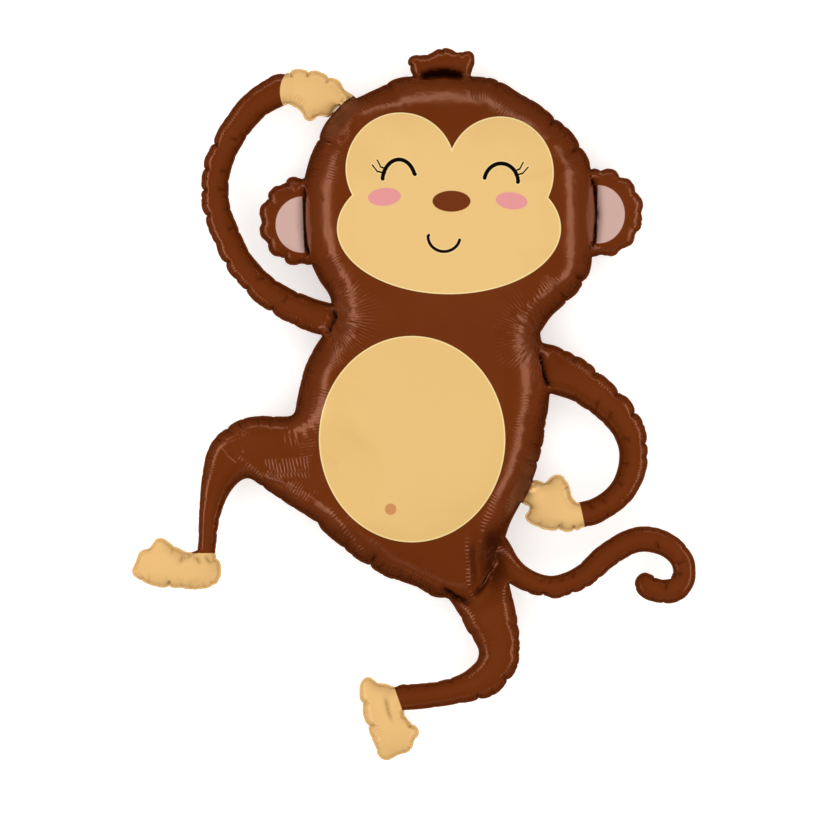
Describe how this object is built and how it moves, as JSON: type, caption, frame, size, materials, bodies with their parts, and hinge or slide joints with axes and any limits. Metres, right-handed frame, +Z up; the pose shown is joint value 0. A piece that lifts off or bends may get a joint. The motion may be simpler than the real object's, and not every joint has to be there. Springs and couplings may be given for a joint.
{
  "type": "monkey foil balloon",
  "caption": "Blown-up foil party balloon shaped as a dancing monkey, lying on its back; one printed cushion with puckered seam, limbs, ears and tail.",
  "frame": {"origin": "middle of the bounding box's underside, on the surface that the back of the balloon lies on", "axes": "+X to the right of the figure as it is looked at, +Y towards its head, +Z up, out of its printed front"},
  "size_m": [1.147, 1.4502, 0.313],
  "materials": {
    "printed_film": "glossy printed foil film, brown with tan face, belly, hands and feet"
  },
  "bodies": {
    "root": {"foil_balloon": "printed_film"}
  },
  "joints": []
}
